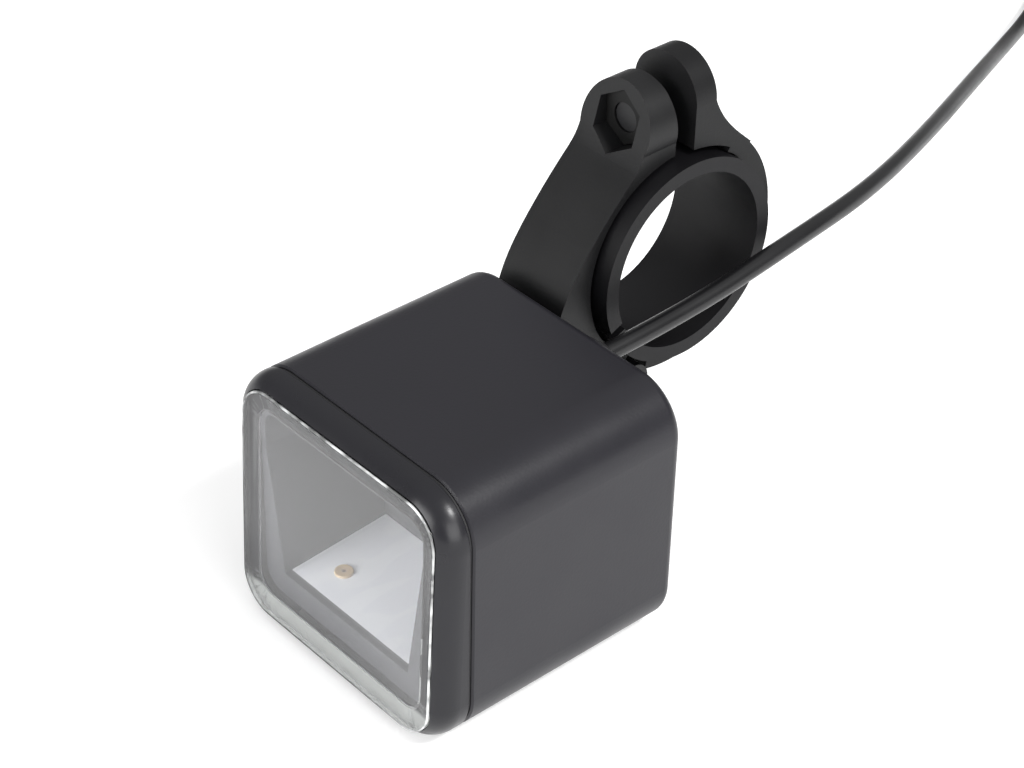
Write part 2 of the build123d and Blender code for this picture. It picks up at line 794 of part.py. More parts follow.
with BuildPart() as tilt_nut:
    with BuildSketch(sideways(lug_left + tilt_nut_sunk)):
        with Locations((tilt_y, tilt_z)):
            RegularPolygon(tilt_nut_flats / 2, 6, major_radius=False, rotation=30)
            Circle(tilt_screw_diameter / 2 + screw_clearance, mode=Mode.SUBTRACT)
    extrude(amount=-tilt_nut_height)
save(tilt_nut, "tilt_nut")

with BuildPart() as tilt_washers:
    washer_left = sideways(bracket_x - lug_inner)
    washer_right = sideways(bracket_x + lug_inner - tilt_washer_thickness)
    with BuildSketch(washer_left, washer_right):
        with Locations((tilt_y, tilt_z)):
            Circle(tilt_washer_diameter / 2)
            Circle(tilt_screw_diameter / 2 + screw_clearance, mode=Mode.SUBTRACT)
    extrude(amount=tilt_washer_thickness)
save(tilt_washers, "tilt_washers")

# Arm of the bracket: its front follows an S from the heel behind the lamp up to the ear
ear_lobe_z = clamp_axis_z - ear_lobe_drop
ear_top_z = ear_lobe_z + ear_lobe_radius
arm_collar = (ear_front_y + (bar_z + arm_collar_z - clamp_axis_z) * ear_slope, bar_z + arm_collar_z)
arm_points = [
    (tilt_y - arm_heel_y, tilt_z + arm_heel_z),
    (bar_y - arm_shin_y, bar_z + arm_shin_z),
    (bar_y - arm_knee_y, bar_z + arm_knee_z),
    (bar_y - arm_hip_y, bar_z + arm_hip_z),
    arm_collar,
]
arm_leans = [(arm_heel_slope, 1), (ear_slope, 1)]


def arm_side(skin):
    """Side view of the arm behind its front skin, as far back as the middle of the bar."""
    with BuildSketch(Plane.XY, mode=Mode.PRIVATE) as side:
        with BuildLine():
            points = [(y + skin, z) for y, z in arm_points]
            Spline(*points, tangents=arm_leans)
            Polyline(points[-1], (ear_back_y, points[-1][1]), (ear_back_y, bar_z), (bar_y, bar_z), points[0])
        make_face()
    return side.sketch


# Front ear: a lobe with a leaning front face
with BuildPart() as front_ear:
    with BuildSketch(upright(ear_back_y, 0)):
        with Locations((arm_x, ear_lobe_z)):
            Circle(ear_lobe_radius)
            Rectangle(arm_width, ear_lobe_z - bar_z, align=(Align.CENTER, Align.MAX))
    extrude(amount=2 * ear_thickness)
    with BuildSketch(sideways(arm_x)):
        Polygon(
            (ear_front_y + (bar_z - clamp_axis_z) * ear_slope, bar_z),
            (ear_front_y + (ear_top_z + 1 - clamp_axis_z) * ear_slope, ear_top_z + 1),
            (ear_back_y, ear_top_z + 1),
            (ear_back_y, bar_z),
            align=None,
        )
    extrude(amount=arm_width, both=True, mode=Mode.INTERSECT)
    fillet(front_ear.faces().sort_by(Axis.Y)[0].edges().group_by(Axis.Z)[1:], ear_edge_radius)

# Bracket: front half of the bar clamp with its ear, and the arm down to the tilt joint
skin_end = 239.0
skin_start = 97.0
with BuildPart() as bracket:
    with BuildSketch(sideways(arm_x)):
        add(arm_side(0))
    extrude(amount=arm_width / 2, both=True)
    with BuildSketch(sideways(arm_x - arm_width / 2), sideways(arm_x + arm_width / 2)):
        add(arm_side(arm_skin))
        with Locations((bar_y, bar_z)):
            Circle(skin_inner_radius, mode=Mode.SUBTRACT)
    extrude(amount=(arm_width - rib_width) / 2, mode=Mode.SUBTRACT)
    with BuildSketch(sideways(bracket_x)):
        with Locations((bar_y, bar_z)):
            Circle(skin_radius)
        Polygon(*bar_wedge(skin_start, skin_end), align=None, mode=Mode.INTERSECT)
    extrude(amount=ring_skin_width / 2, both=True)
    with BuildSketch(sideways(arm_x)):
        with BuildLine():
            Spline(*arm_points, tangents=arm_leans)
            Polyline(arm_points[-1], (arm_points[0][0], arm_points[-1][1]), arm_points[0])
        make_face()
    extrude(amount=arm_width, both=True, mode=Mode.SUBTRACT)
    add(front_ear.part)
    with BuildSketch(sideways(bracket_x)):
        Polygon(
            (bar_y - arm_shin_y + arm_skin / 2, bar_z + arm_shin_z),
            (tilt_y - arm_heel_y + arm_skin / 2, tilt_z + arm_heel_z),
            (tilt_y - eye_radius, tilt_z),
            (tilt_y, tilt_z - eye_radius),
            (hinge_y, hinge_z - knuckle_radius),
            bar_point(skin_inner_radius, skin_end),
            (bar_y, bar_z),
            align=None,
        )
        with Locations((tilt_y, tilt_z)):
            Circle(eye_radius)
    extrude(amount=foot_width / 2, both=True)
    with BuildSketch(sideways(bracket_x)):
        with Locations((hinge_y, hinge_z)):
            Circle(knuckle_radius)
    extrude(amount=clamp_width / 2, both=True)
    with BuildSketch(sideways(bracket_x)):
        with Locations((bar_y, bar_z)):
            Circle(skin_inner_radius)
    extrude(amount=clamp_width, both=True, mode=Mode.SUBTRACT)
    with BuildSketch(sideways(bracket_x)):
        with Locations((bar_y, bar_z)):
            Circle(skin_inner_radius + skin_thickness / 2)
        Polygon(*bar_wedge(skin_start + 2, skin_end - 2), align=None, mode=Mode.INTERSECT)
        with Locations((bar_y, bar_z)):
            Circle(seat_radius, mode=Mode.SUBTRACT)
    extrude(amount=rib_width / 2, both=True)
    with BuildSketch(upright(ear_back_y + ear_boss_height, 0)):
        with Locations((arm_x, clamp_axis_z)):
            Circle(ear_boss_diameter / 2)
    extrude(amount=ear_boss_height)
    with BuildSketch(upright(ear_back_y + ear_boss_height, 0)):
        with Locations((arm_x, clamp_axis_z)):
            Circle(clamp_screw_diameter / 2 + fit_clearance)
    extrude(amount=ear_boss_height + ear_thickness, mode=Mode.SUBTRACT)
    with BuildSketch(upright(pocket_y, 0)):
        with Locations((arm_x, clamp_axis_z)):
            RegularPolygon(clamp_nut_flats / 2 + nut_clearance, 6, major_radius=False, rotation=30)
    extrude(amount=2 * (pocket_y - ear_front_y), mode=Mode.SUBTRACT)
    with BuildSketch(sideways(bracket_x)):
        with Locations((hinge_y, hinge_z)):
            Circle(knuckle_radius + knuckle_recess)
    extrude(amount=knuckle_width / 2 + knuckle_gap, both=True, mode=Mode.SUBTRACT)
    with BuildSketch(sideways(bracket_x)):
        with Locations((hinge_y, hinge_z)):
            Circle(hinge_pin_diameter / 2)
        with Locations((tilt_y, tilt_z)):
            Circle(tilt_screw_diameter / 2 + turning_clearance)
    extrude(amount=clamp_width, both=True, mode=Mode.SUBTRACT)
save(bracket, "bracket")

# Split sleeve that lines the clamp and grips the bar
with BuildPart() as bar_sleeve:
    with BuildSketch(sideways(bracket_x)):
        with Locations((bar_y, bar_z)):
            Circle(sleeve_radius)
            Circle(bar_radius, mode=Mode.SUBTRACT)
        with Locations(Location(bar_point(bar_radius, sleeve_split_angle), sleeve_split_angle)):
            Rectangle(4 * sleeve_wall, sleeve_split, mode=Mode.SUBTRACT)
    extrude(amount=sleeve_width / 2, both=True)
save(bar_sleeve, "bar_sleeve")

# Rear jaw: a strap round the back of the bar, with a hinge knuckle below and an ear on top
jaw_start = -117.0
strap_start = -104.0
shoulder_angle = 48.0
shoulder_lean = 0.4
rear_ear_centre_z = clamp_axis_z + rear_ear_rise
with BuildPart() as clamp_jaw:
    with BuildSketch(sideways(bracket_x)):
        with Locations((bar_y, bar_z)):
            Circle(strap_radius)
        Polygon(*bar_wedge(strap_start, 78.0), align=None, mode=Mode.INTERSECT)
    extrude(amount=strap_width / 2, both=True)
    with BuildSketch(sideways(bracket_x)):
        with Locations((bar_y, bar_z)):
            Circle(strap_radius)
        Polygon(*bar_wedge(jaw_start, strap_start + 4), align=None, mode=Mode.INTERSECT)
        with Locations((hinge_y, hinge_z)):
            Circle(knuckle_radius)
    extrude(amount=knuckle_width / 2, both=True)
    with BuildSketch(sideways(rear_ear_x)):
        with BuildLine():
            Polyline(
                bar_point(strap_radius, shoulder_angle),
                bar_point(seat_radius - 2, shoulder_angle),
                (rear_ear_y, bar_z + seat_radius - 1),
                (rear_ear_y, rear_ear_centre_z),
                (rear_ear_back_y, rear_ear_centre_z),
            )
            Spline(
                (rear_ear_back_y, rear_ear_centre_z),
                bar_point(strap_radius, shoulder_angle),
                tangents=[(shoulder_lean, -1), (sin(radians(shoulder_angle)), -cos(radians(shoulder_angle)))],
            )
        make_face()
    extrude(amount=rear_ear_width / 2, both=True)
    with BuildSketch(upright(rear_ear_back_y, 0)):
        with Locations((rear_ear_x, rear_ear_centre_z)):
            Circle(rear_ear_width / 2)
    extrude(amount=rear_ear_thickness)
    with BuildSketch(sideways(bracket_x)):
        with Locations((bar_y, bar_z)):
            Circle(seat_radius)
    extrude(amount=clamp_width, both=True, mode=Mode.SUBTRACT)
    with BuildSketch(sideways(bracket_x)):
        with Locations((bar_y, bar_z)):
            Circle(seat_radius + jaw_relief)
        Polygon(*bar_wedge(60.0, 95.0), align=None, mode=Mode.INTERSECT)
    extrude(amount=clamp_width, both=True, mode=Mode.SUBTRACT)
    with BuildSketch(upright(rear_ear_back_y + 2, 0)):
        with Locations((arm_x, clamp_axis_z)):
            SlotOverall(counterbore_height, counterbore_width, rotation=90)
    extrude(amount=rear_ear_back_y + 2 - clamp_floor_y, mode=Mode.SUBTRACT)
    with BuildSketch(upright(rear_ear_back_y, 0)):
        with Locations((arm_x, clamp_axis_z)):
            SlotOverall(
                clamp_screw_diameter + 2 * fit_clearance + jaw_slot_extra,
                clamp_screw_diameter + 2 * fit_clearance,
                rotation=90,
            )
    extrude(amount=rear_ear_thickness, mode=Mode.SUBTRACT)
    with BuildSketch(sideways(bracket_x)):
        with Locations((hinge_y, hinge_z)):
            Circle(hinge_pin_diameter / 2 + turning_clearance)
    extrude(amount=knuckle_width, both=True, mode=Mode.SUBTRACT)
save(clamp_jaw, "clamp_jaw")

with BuildPart() as hinge_pin:
    with BuildSketch(sideways(bracket_x)):
        with Locations((hinge_y, hinge_z)):
            Circle(hinge_pin_diameter / 2)
    extrude(amount=clamp_width / 2, both=True)
save(hinge_pin, "hinge_pin")

# Clamp screw in the ears, and its nut in the hexagonal pocket
with BuildPart() as clamp_screw:
    with BuildSketch(upright(clamp_head_y + clamp_head_height, 0)):
        with Locations((arm_x, clamp_axis_z)):
            Circle(clamp_head_diameter / 2)
    extrude(amount=clamp_head_height)
    chamfer(clamp_screw.faces().sort_by(Axis.Y)[-1].edges(), 0.4)
    with BuildSketch(upright(clamp_head_y, 0)):
        with Locations((arm_x, clamp_axis_z)):
            Circle(clamp_screw_diameter / 2)
    extrude(amount=clamp_head_y - clamp_tip_y)
    with BuildSketch(upright(clamp_head_y + clamp_head_height, 0)):
        with Locations((arm_x, clamp_axis_z)):
            RegularPolygon(clamp_head_key / 2, 6, major_radius=False)
    extrude(amount=clamp_head_height * 0.7, mode=Mode.SUBTRACT)
save(clamp_screw, "clamp_screw")

with BuildPart() as clamp_nut:
    with BuildSketch(upright(pocket_y, 0)):
        with Locations((arm_x, clamp_axis_z)):
            RegularPolygon(clamp_nut_flats / 2, 6, major_radius=False, rotation=30)
            Circle(clamp_screw_diameter / 2 + screw_clearance, mode=Mode.SUBTRACT)
    extrude(amount=clamp_nut_height)
save(clamp_nut, "clamp_nut")

# Boot that seals the cable in the back cover and eases its bend
with BuildPart() as cable_boot:
    with BuildSketch(Plane(origin=(cable_exit_x, 0, cable_exit_z), x_dir=(1, 0, 0), z_dir=(0, 0, 1))):
        Polygon(
            (cable_radius, cover_y),
            (boot_neck_diameter / 2, cover_y),
            (boot_neck_diameter / 2, rear_y),
            (boot_collar_diameter / 2, rear_y),
            (boot_collar_diameter / 2, rear_y + boot_collar_length),
            (boot_tip_diameter / 2, rear_y + boot_length),
            (cable_radius, rear_y + boot_length),
            align=None,
        )
    revolve(axis=Axis((cable_exit_x, 0, cable_exit_z), (0, 1, 0)))
save(cable_boot, "cable_boot")

# Cable from the lamp down to the table. Each point is a corner of its route.
cable_corners = [
    (cable_exit_x, cover_y - cable_inside, cable_exit_z),
    (cable_exit_x, 33.0, cable_exit_z),
    (cable_exit_x - 1.5, 56.0, cable_exit_z * 1.05),
    (cable_exit_x - 7.0, 78.0, cable_exit_z * 0.96),
    (cable_exit_x - 18.0, 103.5, cable_exit_z * 0.79),
    (cable_exit_x - 33.5, 133.5, cable_exit_z * 0.52),
    (cable_exit_x - 47.5, 160.0, cable_exit_z * 0.26),
    (cable_exit_x - 59.0, 182.0, cable_rest_z),
    (cable_exit_x - 68.5, 202.0, cable_rest_z),
]


def bend_radii(corners):
    """Largest easy bend at each corner, from the runs that meet there."""
    radii = []
    for before, here, after in zip(corners[:-2], corners[1:-1], corners[2:]):
        arriving = Vector(*here) - Vector(*before)
        leaving = Vector(*after) - Vector(*here)
        turn = radians(arriving.get_angle(leaving))
        radii.append(0.45 * min(arriving.length, leaving.length) / tan(turn / 2))
    print("bend radii", [round(radius) for radius in radii])
    return radii


with BuildPart() as cable:
    with BuildLine() as cable_path:
        FilletPolyline(*cable_corners, radius=bend_radii(cable_corners))
    with BuildSketch(Plane(origin=cable_path.line @ 0, z_dir=cable_path.line % 0)):
        Circle(cable_radius)
    sweep()
save(cable, "cable")
cable_length = cable_path.wires()[0].length
tube_share = cable.part.volume / (pi * cable_radius**2 * cable_length)
print("cable run", round(cable_length, 1), "tube against section times length", round(tube_share, 4))

# Coil of spare cable: half turns that wind in on the table, climb, and wind out on top,
# with a last quarter turn that leaves over the arriving cable
coil_heading = (Vector(*cable_corners[-1]) - Vector(*cable_corners[-2])).normalized()
coil_side = Vector(-coil_heading.Y, coil_heading.X, 0)
coil_start = Vector(*cable_corners[-1])


def half_turn(start, along, across, radius, climb):
    """Middle and end of a half circle that may rise from its start to its end."""
    reach = sqrt(radius**2 + (climb / 2) ** 2)
    middle = start + across * radius + along * reach + Vector(0, 0, climb / 2)
    end = start + across * (2 * radius) + Vector(0, 0, climb)
    return middle, end


def coil_radii():
    """Radius and climb of every half turn, wound in to the middle and out again."""
    inward = [(coil_turn_radius + coil_half_step * (1.5 - i), 0) for i in range(coil_half_turns_in)]
    inmost = inward[-1][0] - coil_half_step
    outward = [(inmost + coil_half_step * (i + 1), 0) for i in range(coil_half_turns_out)]
    return inward + [(inmost, coil_layer_step)] + outward


with BuildPart() as cable_coil:
    with BuildLine() as coil_path:
        here = coil_start + coil_heading * cable_diameter
        Line(coil_start, here)
        along = coil_heading
        across = coil_side
        for radius, climb in coil_radii():
            middle, there = half_turn(here, along, across, radius, climb)
            ThreePointArc(here, middle, there)
            here = there
            along = along * -1
            across = across * -1
        last_radius = coil_radii()[-1][0] + coil_half_step
        middle = here + across * (last_radius * (1 - cos(pi / 4))) + along * (last_radius * sin(pi / 4))
        there = here + across * last_radius + along * last_radius
        ThreePointArc(here, middle, there)
        along, across = across, along * -1
        coil_end = there + along * cable_diameter
        Line(there, coil_end)
    with BuildSketch(Plane(origin=coil_path.line @ 0, z_dir=coil_path.line % 0)):
        Circle(cable_radius)
    sweep()
save(cable_coil, "cable_coil")
coil_wire = coil_path.wires()[0]
coil_length = coil_wire.length


def coil_gap():
    """Least gap between turns of the coil, from points along its route."""
    count = 700
    points = [coil_wire @ (i / count) for i in range(count + 1)]
    apart = int(3 * cable_diameter / coil_length * count) + 1
    least = min(
        (points[i] - points[j]).length
        for i in range(count + 1)
        for j in range(i + apart, count + 1)
    )
    return least - cable_diameter


# Tie round the turns of the coil
tie_centre = coil_start + coil_heading * cable_diameter + coil_side * coil_radii()[0][0]
tie_outer_turn = coil_radii()[1][0] + cable_radius + tie_slack
tie_inner_radius = coil_radii()[3][0]
tie_reach = tie_width / 2 + coil_half_step
tie_inner_turn = sqrt(tie_inner_radius**2 - tie_reach**2) - cable_radius - tie_slack
tie_height = coil_layer_step + cable_diameter
tie_middle = tie_centre - coil_heading * (tie_outer_turn + tie_inner_turn) / 2
tie_middle_z = cable_rest_z + coil_layer_step / 2
tie_plane = Plane(
    origin=(tie_middle.X, tie_middle.Y, tie_middle_z),
    x_dir=coil_heading,
    z_dir=coil_side,
)
with BuildPart() as coil_tie:
    with BuildSketch(tie_plane):
        RectangleRounded(
            tie_outer_turn - tie_inner_turn + 2 * tie_thickness,
            tie_height + 2 * tie_thickness,
            cable_radius / 2 + tie_thickness,
        )
        RectangleRounded(tie_outer_turn - tie_inner_turn, tie_height, cable_radius / 2, mode=Mode.SUBTRACT)
    extrude(amount=tie_width / 2, both=True)
save(coil_tie, "coil_tie")

print("coil length", round(coil_length, 1), "least gap", round(coil_gap(), 2))

# Tail of the cable from the coil to its plug, which lies on the table
plug_axis_z = plug_collar_diameter / 2 + turning_clearance
tail_bend = radians(20.0)
tail_run = 19.0
tail_away = across * -1
tail_first = coil_end + along * tail_run
tail_heading = (along * cos(tail_bend) + tail_away * sin(tail_bend)).normalized()
tail_second = tail_first + tail_heading * tail_run + Vector(0, 0, plug_axis_z - coil_end.Z)
tail_corners = [
    tuple(coil_end),
    tuple(tail_first),
    tuple(tail_second),
]
with BuildPart() as cable_tail:
    with BuildLine() as tail_path:
        FilletPolyline(*tail_corners, radius=bend_radii(tail_corners))
    with BuildSketch(Plane(origin=tail_path.line @ 0, z_dir=tail_path.line % 0)):
        Circle(cable_radius)
    sweep()
save(cable_tail, "cable_tail")
tail_length = tail_path.wires()[0].length
print("whole cable", round(cable_length + coil_length + tail_length, 1))

# Plug: a moulded body with a boot, a sealing ring and two pins inside its nose
plug_start = Vector(*tail_corners[-1])
plug_line = tail_path.line % 1
plug_across = Vector(-plug_line.Y, plug_line.X, 0).normalized()
plug_plane = Plane(origin=plug_start, x_dir=plug_across, z_dir=plug_line)
plug_body_start = plug_boot_length
plug_collar_start = plug_body_start + plug_length - plug_collar_length
plug_face = plug_body_start + plug_length
plug_nose_end = plug_face + plug_nose_length
plug_ring_start = plug_face + plug_nose_length * 0.3
with BuildPart() as plug_body:
    with BuildSketch(plug_plane):
        Circle(boot_tip_diameter / 2)
    with BuildSketch(plug_plane.offset(plug_boot_length)):
        Circle(plug_diameter / 2 - 0.6)
    loft()
    with BuildSketch(plug_plane.offset(plug_body_start)):
        Circle(plug_diameter / 2)
    extrude(amount=plug_length - plug_collar_length)
    with BuildSketch(plug_plane.offset(plug_collar_start)):
        Circle(plug_collar_diameter / 2)
    extrude(amount=plug_collar_length)
    chamfer(plug_body.faces().sort_by(Axis(plug_start, plug_line))[-1].edges(), 0.4)
    with BuildSketch(plug_plane.offset(plug_face)):
        Circle(plug_nose_diameter / 2)
    extrude(amount=plug_nose_length)
    with BuildSketch(plug_plane.offset(plug_face)):
        Circle(plug_nose_diameter / 2 - plug_nose_wall)
    extrude(amount=plug_nose_length, mode=Mode.SUBTRACT)
    with BuildSketch(plug_plane.offset(plug_ring_start)):
        Circle(plug_nose_diameter / 2)
        Circle(plug_nose_diameter / 2 - plug_ring_section / 2, mode=Mode.SUBTRACT)
    extrude(amount=plug_ring_section, mode=Mode.SUBTRACT)
save(plug_body, "plug_body")

with BuildPart() as plug_pins:
    with BuildSketch(plug_plane.offset(plug_face)):
        with GridLocations(plug_pin_spacing, 0, 2, 1):
            Circle(plug_pin_diameter / 2)
    extrude(amount=plug_pin_length)
save(plug_pins, "plug_pins")

with BuildPart() as plug_ring:
    with BuildSketch(plug_plane.offset(plug_ring_start)):
        Circle(plug_nose_diameter / 2 + plug_ring_section / 2)
        Circle(plug_nose_diameter / 2 - plug_ring_section / 2, mode=Mode.SUBTRACT)
    extrude(amount=plug_ring_section)
    fillet(plug_ring.edges().filter_by(GeomType.CIRCLE).sort_by(SortBy.RADIUS)[-2:], plug_ring_section / 3)
save(plug_ring, "plug_ring")
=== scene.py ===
"""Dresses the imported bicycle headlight, its clamp bracket and its cable, and lights them on a pale floor.

All lengths are in metres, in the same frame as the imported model."""

import bpy
import numpy as np
from bpy.props import FloatProperty, FloatVectorProperty, PointerProperty
from bpy.types import Operator, Panel, PropertyGroup
from mathutils import Matrix, Vector


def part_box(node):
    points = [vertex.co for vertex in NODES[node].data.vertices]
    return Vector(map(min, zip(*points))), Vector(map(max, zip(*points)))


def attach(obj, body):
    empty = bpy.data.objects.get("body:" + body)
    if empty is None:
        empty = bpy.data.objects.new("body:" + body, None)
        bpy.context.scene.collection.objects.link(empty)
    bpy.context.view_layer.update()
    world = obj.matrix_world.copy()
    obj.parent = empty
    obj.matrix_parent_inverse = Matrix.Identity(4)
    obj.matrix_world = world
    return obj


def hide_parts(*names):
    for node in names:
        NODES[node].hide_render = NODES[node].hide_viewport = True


bl_info = {
    "name": "Bicycle headlight dressing",
    "version": (1, 0, 0),
    "blender": (4, 5, 0),
    "location": "View3D > Sidebar > Headlight",
    "description": "Finishes, cable, light and camera for a bicycle headlight with a clamp bracket",
    "category": "Object",
}

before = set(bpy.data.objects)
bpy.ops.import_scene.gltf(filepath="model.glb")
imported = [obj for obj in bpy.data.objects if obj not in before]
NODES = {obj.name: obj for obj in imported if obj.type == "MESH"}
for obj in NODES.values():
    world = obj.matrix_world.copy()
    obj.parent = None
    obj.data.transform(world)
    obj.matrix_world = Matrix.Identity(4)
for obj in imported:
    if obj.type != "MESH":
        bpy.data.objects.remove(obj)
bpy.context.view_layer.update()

# Camera of the photograph
CAMERA_PLACE = (0.19257, -0.16636, 0.21948)
CAMERA_RIGHT = (0.6589, 0.7520, 0.0182)
CAMERA_UP = (-0.4506, 0.3752, 0.8100)
CAMERA_BACK = (0.6023, -0.5420, 0.5861)

# Route of the cable, the same corners as the part's source
CABLE_START = (0.0025, 0.0128, 0.0319)
CABLE_CORNERS = [
    (0.0025, 0.0330, 0.0319),
    (0.0010, 0.0560, 0.033495),
    (-0.0045, 0.0780, 0.030624),
    (-0.0155, 0.1035, 0.025201),
    (-0.0310, 0.1335, 0.016588),
    (-0.0450, 0.1600, 0.008294),
    (-0.0565, 0.1820, 0.00175),
    (-0.0660, 0.2020, 0.00175),
]
CABLE_DIAMETER = 0.0026
COIL_RADII_IN = (0.01615, 0.01445, 0.01275, 0.01105)
COIL_RADIUS_CLIMB = 0.00935
COIL_RADII_OUT = (0.01105, 0.01275)
COIL_RADIUS_LAST = 0.01445
COIL_LAYER = 0.0033
PLUG_AXIS_Z = 0.00475
TAIL_RUN = 0.019
TAIL_BEND = np.radians(20.0)

# Grip ribs round the plug, by distance from its cable end
GRIP_STATIONS = [0.0096 + 0.0013 * step for step in range(7)]
GRIP_RADIUS = 0.004
GRIP_SECTION = 0.0003

# Polished bead at the lens's front edge, coloured with painted glints
LENS_CORNER = 0.0051
LENS_BEAD = 0.00016
LENS_LEAN = np.tan(np.radians(2.2))

# Light-emitting disc's radius, and the height up to which the frame behind the lens carries painted light,
# standing for the floor's white seen through the lens
EMITTER_RADIUS = 0.00125
BORDER_FOOT = 0.0049
BORDER_BLUR = 0.0004

# Colours of the pieces that no user would change
SEAL_COLOUR = (0.012, 0.012, 0.013)
SPREADER_COLOUR = (0.085, 0.085, 0.095)
PAD_COLOUR = (0.30, 0.32, 0.36)
BOARD_MASK, BOARD_TRACK = (0.80, 0.81, 0.84), (0.77, 0.78, 0.82)
DRIVER_MASK, DRIVER_TRACK = (0.012, 0.09, 0.035), (0.02, 0.16, 0.06)
# Frame behind the lens: its own dark colour, and a light colour that is painted light from the floor seen
# through the lens's foot
BORDER_DARK, BORDER_PAINTED_FLOOR_LIGHT = (0.020, 0.020, 0.023), (0.36, 0.37, 0.36)
FERRITE_COLOUR = (0.03, 0.03, 0.032)
CHIP_COLOUR = (0.02, 0.02, 0.021)
CAN_COLOUR = (0.75, 0.75, 0.76)
RED_WIRE = (0.42, 0.02, 0.02)
BLACK_WIRE = (0.015, 0.015, 0.016)
SLEEVE_COLOUR = (0.0040, 0.0038, 0.0046)
BLACK_STEEL = (0.010, 0.010, 0.011)
BRIGHT_STEEL = (0.62, 0.62, 0.63)
# Clamp nut: black steel, made darker than the other black steel to paint the shade of its hex pocket
NUT_BLACK_AND_PAINTED_SHADE = (0.004, 0.004, 0.004)
NYLON_COLOUR = (0.55, 0.54, 0.50)
RUBBER_COLOUR = (0.013, 0.013, 0.014)
RING_COLOUR = (0.30, 0.02, 0.015)
GILT_COLOUR = (0.80, 0.58, 0.26)

# Floor and soft lamps: place, size, and share of the main power; all aim at the lamp body
FLOOR_DROP = 0.00005
FLOOR_GLOW = 0.27
LAMP_TARGET = (0.0, 0.01, 0.02)
LAMPS = [
    ("key_light", (0.62, 0.20, 0.82), (0.17, 0.17), 0.85),
    ("side_light", (0.85, -0.10, 0.30), (0.7, 0.5), 0.6),
    ("front_light", (-0.10, -0.95, 0.35), (0.7, 0.5), 0.9),
]
HORIZON_SHARE, OVERHEAD_SHARE = 0.3, 1.45


class HeadlightSizes(PropertyGroup):
    """Sizes that a user may change."""

    lens_focal: FloatProperty(
        name="Focal length", description="Focal length of the camera in millimetres", default=90.12
    )
    cable_diameter: FloatProperty(
        name="Cable diameter", description="Diameter of the cable", default=CABLE_DIAMETER, unit="LENGTH"
    )
    floor_size: FloatProperty(name="Floor", description="Width of the floor", default=6.0, unit="LENGTH")
    lamp_power: FloatProperty(
        name="Lamp power", description="Power that the soft lights share, in watts", default=9.0
    )
    world_level: FloatProperty(
        name="World level", description="Brightness of the surrounding light", default=0.55
    )


class HeadlightColours(PropertyGroup):
    """Colours that a user may change."""

    housing: FloatVectorProperty(
        name="Housing", description="Paint of the housing", subtype="COLOR", size=3,
        default=(0.0115, 0.0110, 0.0145),
    )
    bezel: FloatVectorProperty(
        name="Bezel", description="Plastic of the front bezel", subtype="COLOR", size=3,
        default=(0.0095, 0.0093, 0.0118),
    )
    clamp: FloatVectorProperty(
        name="Clamp", description="Plastic of the clamp", subtype="COLOR", size=3,
        default=(0.0055, 0.0055, 0.0060),
    )
    cable: FloatVectorProperty(
        name="Cable", description="Jacket of the cable", subtype="COLOR", size=3,
        default=(0.0055, 0.0055, 0.0062),
    )
    reflector: FloatVectorProperty(
        name="Reflector", description="Satin coat of the reflector", subtype="COLOR", size=3,
        default=(0.045, 0.045, 0.052),
    )


def new_material(name):
    """Material with an empty node tree, its output and its main shader."""
    material = bpy.data.materials.new(name)
    material.use_nodes = True
    tree = material.node_tree
    tree.nodes.clear()
    output = tree.nodes.new("ShaderNodeOutputMaterial")
    shader = tree.nodes.new("ShaderNodeBsdfPrincipled")
    tree.links.new(shader.outputs["BSDF"], output.inputs["Surface"])
    return material, tree, shader


def noise_field(tree, scale, detail=3.0, stretch=(1.0, 1.0, 1.0)):
    """Noise on Object coordinates; scale counts features per metre."""
    place = tree.nodes.new("ShaderNodeTexCoord")
    mapping = tree.nodes.new("ShaderNodeMapping")
    mapping.inputs["Scale"].default_value = stretch
    noise = tree.nodes.new("ShaderNodeTexNoise")
    noise.inputs["Scale"].default_value = scale
    noise.inputs["Detail"].default_value = detail
    tree.links.new(place.outputs["Object"], mapping.inputs["Vector"])
    tree.links.new(mapping.outputs["Vector"], noise.inputs["Vector"])
    return noise.outputs["Fac"]


def spread(tree, field, low, high, start=0.3, end=0.7):
    """Field turned into a number between low and high."""
    node = tree.nodes.new("ShaderNodeMapRange")
    node.inputs["From Min"].default_value = start
    node.inputs["From Max"].default_value = end
    node.inputs["To Min"].default_value = low
    node.inputs["To Max"].default_value = high
    tree.links.new(field, node.inputs["Value"])
    return node.outputs["Result"]


def blend_colours(tree, field, dark, light):
    """Colour between two others, steered by a field."""
    node = tree.nodes.new("ShaderNodeMix")
    node.data_type = "RGBA"
    node.inputs["A"].default_value = (*dark, 1.0)
    node.inputs["B"].default_value = (*light, 1.0)
    tree.links.new(field, node.inputs["Factor"])
    return node.outputs["Result"]


def bump(tree, shader, field, distance, strength=1.0):
    """Relief from a field, its depth in metres."""
    node = tree.nodes.new("ShaderNodeBump")
    node.inputs["Distance"].default_value = distance
    node.inputs["Strength"].default_value = strength
    tree.links.new(field, node.inputs["Height"])
    tree.links.new(node.outputs["Normal"], shader.inputs["Normal"])


def surface_finish(name, colour, roughness, grain, relief, spec=0.5, uneven=0.12):
    """Moulded, painted or cast surface: fine grain, patchy gloss and a slight change of shade."""
    material, tree, shader = new_material(name)
    patches = noise_field(tree, 90.0)
    fine = noise_field(tree, grain, 2.0)
    dark = [c * (1 - uneven) for c in colour]
    light = [min(1.0, c * (1 + uneven)) for c in colour]
    shade = blend_colours(tree, spread(tree, patches, 0, 1), dark, light)
    tree.links.new(shade, shader.inputs["Base Color"])
    tree.links.new(spread(tree, patches, roughness - 0.05, roughness + 0.05), shader.inputs["Roughness"])
    shader.inputs["Specular IOR Level"].default_value = spec
    bump(tree, shader, fine, relief, 0.6)
    return material


